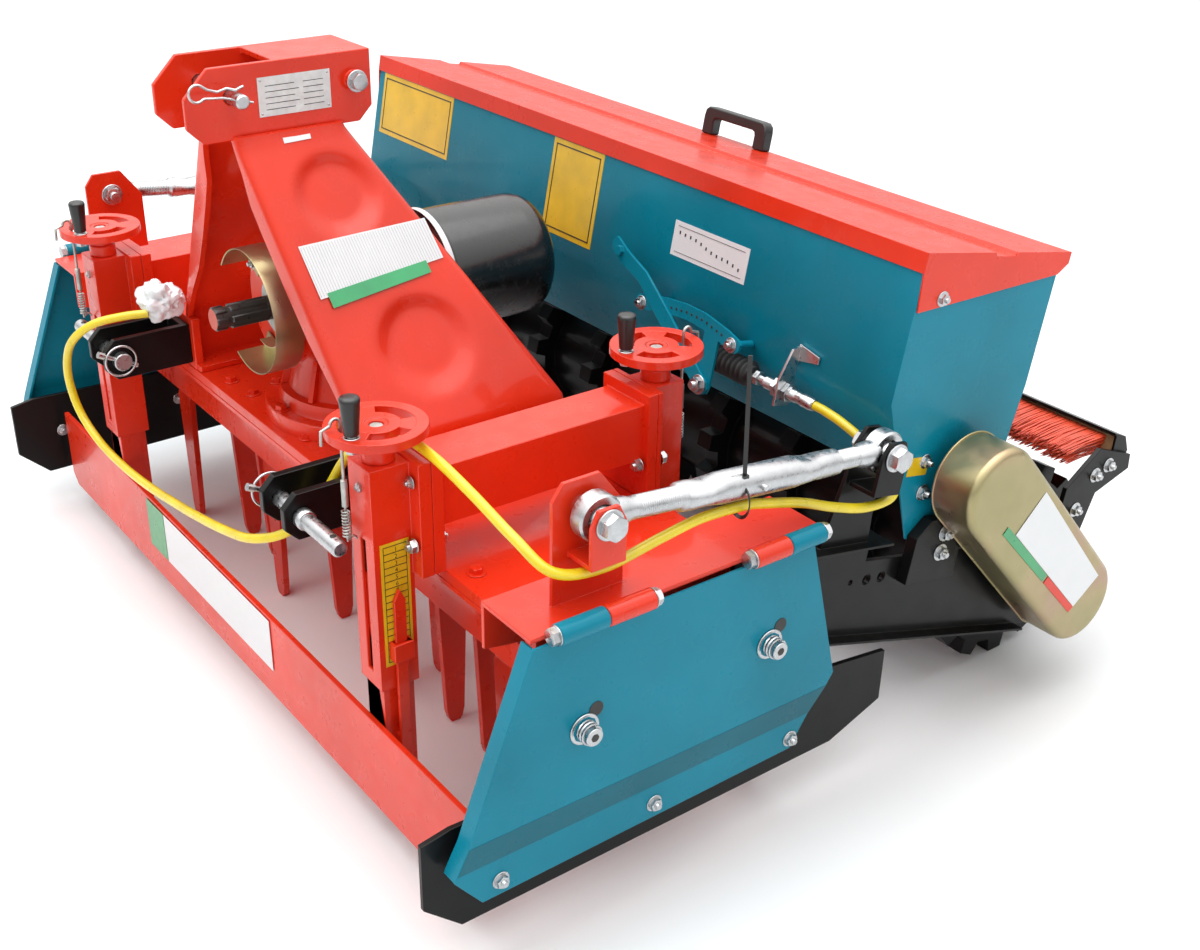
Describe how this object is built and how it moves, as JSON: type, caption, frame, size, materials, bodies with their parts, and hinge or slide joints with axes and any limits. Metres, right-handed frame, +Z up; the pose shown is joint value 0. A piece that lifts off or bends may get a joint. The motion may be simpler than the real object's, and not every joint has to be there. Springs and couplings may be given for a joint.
{
  "type": "combination seed drill",
  "caption": "Tractor-mounted combination seed drill: power harrow with levelling boards, and a tilting unit with seed hopper, chain drive, packer roller, scrapers and covering brush.",
  "frame": {"origin": "on the floor, under the middle of the machine's bounding box", "axes": "+X to the machine's left side (the chain side), +Y rearward to the roller, +Z up"},
  "size_m": [1.57, 1.3144, 0.941],
  "materials": {
    "red_paint": "gloss",
    "teal_paint": "gloss",
    "black_paint": "satin",
    "zinc_plate": "satin",
    "yellow_zinc": "satin",
    "black_rubber": "matt",
    "orange_bristle": "matt",
    "yellow_sheath": "gloss"
  },
  "bodies": {
    "harrow": {"gear_trough": "red_paint", "trough_cover": "red_paint", "gearbox_housing": "red_paint", "pto_guard": "yellow_zinc", "rear_pto_cap": "black_rubber", "tower_left": "red_paint", "tower_right": "red_paint", "top_hitch_channel": "red_paint", "top_link_pin": "zinc_plate", "hitch_clevis_left": "black_paint", "hitch_clevis_right": "black_paint", "hitch_pin_left": "zinc_plate", "hitch_pin_right": "zinc_plate", "side_beam_left": "red_paint", "side_beam_right": "red_paint", "post_front_left": "red_paint", "post_front_right": "red_paint", "post_rear_left": "red_paint", "post_rear_right": "red_paint", "side_angle_left": "red_paint", "side_angle_right": "red_paint", "control_cable": "yellow_sheath"},
    "input_shaft": {"pto_shaft": "zinc_plate"},
    "rotor_body_1": {"rotor_1": "red_paint"},
    "rotor_body_2": {"rotor_2": "red_paint"},
    "rotor_body_3": {"rotor_3": "red_paint"},
    "rotor_body_4": {"rotor_4": "red_paint"},
    "rotor_body_5": {"rotor_5": "red_paint"},
    "rotor_body_6": {"rotor_6": "red_paint"},
    "rotor_body_7": {"rotor_7": "red_paint"},
    "screw_front_left": {"handwheel_front_left": "red_paint"},
    "screw_front_right": {"handwheel_front_right": "red_paint"},
    "screw_rear_left": {"handwheel_rear_left": "red_paint"},
    "screw_rear_right": {"handwheel_rear_right": "red_paint"},
    "levelling_board": {"front_leveller": "red_paint"},
    "rear_board": {"rear_leveller": "red_paint"},
    "shield_body_left": {"side_shield_left": "teal_paint", "skid_plate_left": "black_paint"},
    "link_tube_left": {"turnbuckle_left": "zinc_plate"},
    "link_end_left": {"turnbuckle_eye_left": "zinc_plate"},
    "shield_body_right": {"side_shield_right": "teal_paint", "skid_plate_right": "black_paint"},
    "link_tube_right": {"turnbuckle_right": "zinc_plate"},
    "link_end_right": {"turnbuckle_eye_right": "zinc_plate"},
    "seeder_unit": {"side_arm_left": "black_paint", "side_arm_right": "black_paint", "hopper": "teal_paint", "metering_housing": "teal_paint", "chain_cover": "yellow_zinc", "scraper_bar": "black_paint", "brush": "orange_bristle", "brush_cover": "black_paint", "dose_quadrant": "teal_paint", "cable_bracket": "zinc_plate", "bellows": "black_rubber"},
    "seed_shaft": {"metering_shaft": "zinc_plate"},
    "roller": {"packer_roller": "black_paint"},
    "lid": {"hopper_lid": "red_paint"},
    "dose_lever": {"metering_lever": "teal_paint"},
    "control_rod": {"cable_rod": "zinc_plate"}
  },
  "joints": [
    {"name": "rotor_spin_1", "type": "hinge", "parent": "harrow", "child": "rotor_body_1", "pos_m": [-0.5181, -0.35218, 0.3], "axis": [0, 0, 1], "continuous": true},
    {"name": "rotor_spin_2", "type": "hinge", "parent": "harrow", "child": "rotor_body_2", "pos_m": [-0.3454, -0.35218, 0.3], "axis": [0, 0, 1], "continuous": true},
    {"name": "rotor_spin_3", "type": "hinge", "parent": "harrow", "child": "rotor_body_3", "pos_m": [-0.1727, -0.35218, 0.3], "axis": [0, 0, 1], "continuous": true},
    {"name": "rotor_spin_4", "type": "hinge", "parent": "harrow", "child": "rotor_body_4", "pos_m": [0, -0.35218, 0.3], "axis": [0, 0, 1], "continuous": true},
    {"name": "rotor_spin_5", "type": "hinge", "parent": "harrow", "child": "rotor_body_5", "pos_m": [0.1727, -0.35218, 0.3], "axis": [0, 0, 1], "continuous": true},
    {"name": "rotor_spin_6", "type": "hinge", "parent": "harrow", "child": "rotor_body_6", "pos_m": [0.3454, -0.35218, 0.3], "axis": [0, 0, 1], "continuous": true},
    {"name": "rotor_spin_7", "type": "hinge", "parent": "harrow", "child": "rotor_body_7", "pos_m": [0.5181, -0.35218, 0.3], "axis": [0, 0, 1], "continuous": true},
    {"name": "input_spin", "type": "hinge", "parent": "harrow", "child": "input_shaft", "pos_m": [0, -0.54517, 0.586], "axis": [0, 1, 0], "continuous": true},
    {"name": "screw_turn_front_left", "type": "hinge", "parent": "harrow", "child": "screw_front_left", "pos_m": [0.45, -0.53787, 0.595], "axis": [0, 0, 1], "range_deg": [-3630, 2910]},
    {"name": "screw_turn_front_right", "type": "hinge", "parent": "harrow", "child": "screw_front_right", "pos_m": [-0.45, -0.53787, 0.595], "axis": [0, 0, 1], "range_deg": [-3630, 2910]},
    {"name": "front_board_lift", "type": "slide", "parent": "harrow", "child": "levelling_board", "axis": [0, 0, 1], "range_m": [-0.04, 0.05]},
    {"name": "screw_turn_rear_left", "type": "hinge", "parent": "harrow", "child": "screw_rear_left", "pos_m": [0.45, -0.11457, 0.595], "axis": [0, 0, 1], "range_deg": [-3630, 2910]},
    {"name": "screw_turn_rear_right", "type": "hinge", "parent": "harrow", "child": "screw_rear_right", "pos_m": [-0.45, -0.11457, 0.595], "axis": [0, 0, 1], "range_deg": [-3630, 2910]},
    {"name": "rear_board_lift", "type": "slide", "parent": "harrow", "child": "rear_board", "axis": [0, 0, 1], "range_m": [-0.04, 0.05]},
    {"name": "shield_swing_left", "type": "hinge", "parent": "harrow", "child": "shield_body_left", "pos_m": [0.768, -0.29718, 0.459], "axis": [0, -1, 0], "range_deg": [0, 15], "stiffness_Nm_per_rad": 15, "springref_deg": -17.19},
    {"name": "shield_swing_right", "type": "hinge", "parent": "harrow", "child": "shield_body_right", "pos_m": [-0.768, -0.29718, 0.459], "axis": [0, 1, 0], "range_deg": [0, 15], "stiffness_Nm_per_rad": 15, "springref_deg": -17.19},
    {"name": "seeder_tilt", "type": "hinge", "parent": "harrow", "child": "seeder_unit", "pos_m": [0, -0.13717, 0.36], "axis": [1, 0, 0], "range_deg": [-2, 2]},
    {"name": "link_swing_left", "type": "hinge", "parent": "harrow", "child": "link_tube_left", "pos_m": [0.733, -0.42418, 0.567], "axis": [1, 0, 0], "range_deg": [-1, 1]},
    {"name": "link_screw_left", "type": "slide", "parent": "link_tube_left", "child": "link_end_left", "axis": [0, 0.9942, -0.1078], "range_m": [-0.0065, 0.0065]},
    {"name": "link_swing_right", "type": "hinge", "parent": "harrow", "child": "link_tube_right", "pos_m": [-0.733, -0.42418, 0.567], "axis": [1, 0, 0], "range_deg": [-1, 1]},
    {"name": "link_screw_right", "type": "slide", "parent": "link_tube_right", "child": "link_end_right", "axis": [0, 0.9942, -0.1078], "range_m": [-0.0065, 0.0065]},
    {"name": "roller_spin", "type": "hinge", "parent": "seeder_unit", "child": "roller", "pos_m": [0, 0.45663, 0.16333], "axis": [1, 0, 0], "continuous": true},
    {"name": "seed_shaft_spin", "type": "hinge", "parent": "seeder_unit", "child": "seed_shaft", "pos_m": [0, 0.24025, 0.40775], "axis": [1, 0, 0], "continuous": true},
    {"name": "lid_hinge", "type": "hinge", "parent": "seeder_unit", "child": "lid", "pos_m": [0, 0.15673, 0.68203], "axis": [1, 0, 0], "range_deg": [0, 60]},
    {"name": "lever_swing", "type": "hinge", "parent": "seeder_unit", "child": "dose_lever", "pos_m": [0.3775, 0.03199, 0.47967], "axis": [0, 0.9826, -0.1857], "range_deg": [-18, 22]},
    {"name": "rod_slide", "type": "slide", "parent": "seeder_unit", "child": "control_rod", "axis": [1, 0, 0], "range_m": [-0.012, 0.012]}
  ],
  "couplings": [
    {"joint": "rotor_spin_1", "follows": "rotor_spin_4", "ratio": -1},
    {"joint": "rotor_spin_2", "follows": "rotor_spin_4", "ratio": 1},
    {"joint": "rotor_spin_3", "follows": "rotor_spin_4", "ratio": -1},
    {"joint": "rotor_spin_5", "follows": "rotor_spin_4", "ratio": -1},
    {"joint": "rotor_spin_6", "follows": "rotor_spin_4", "ratio": 1},
    {"joint": "rotor_spin_7", "follows": "rotor_spin_4", "ratio": -1},
    {"joint": "input_spin", "follows": "rotor_spin_4", "ratio": 1.8},
    {"joint": "screw_turn_front_left", "follows": "front_board_lift", "rad_per_m": -1256.6},
    {"joint": "screw_turn_front_right", "follows": "front_board_lift", "rad_per_m": -1256.6},
    {"joint": "screw_turn_rear_left", "follows": "rear_board_lift", "rad_per_m": -1256.6},
    {"joint": "screw_turn_rear_right", "follows": "rear_board_lift", "rad_per_m": -1256.6},
    {"joint": "link_swing_left", "follows": "seeder_tilt", "ratio": 0.3233},
    {"joint": "link_screw_left", "follows": "seeder_tilt", "m_per_rad": -0.1749},
    {"joint": "link_swing_right", "follows": "seeder_tilt", "ratio": 0.3233},
    {"joint": "link_screw_right", "follows": "seeder_tilt", "m_per_rad": -0.1749},
    {"joint": "seed_shaft_spin", "follows": "roller_spin", "ratio": 1.25}
  ]
}
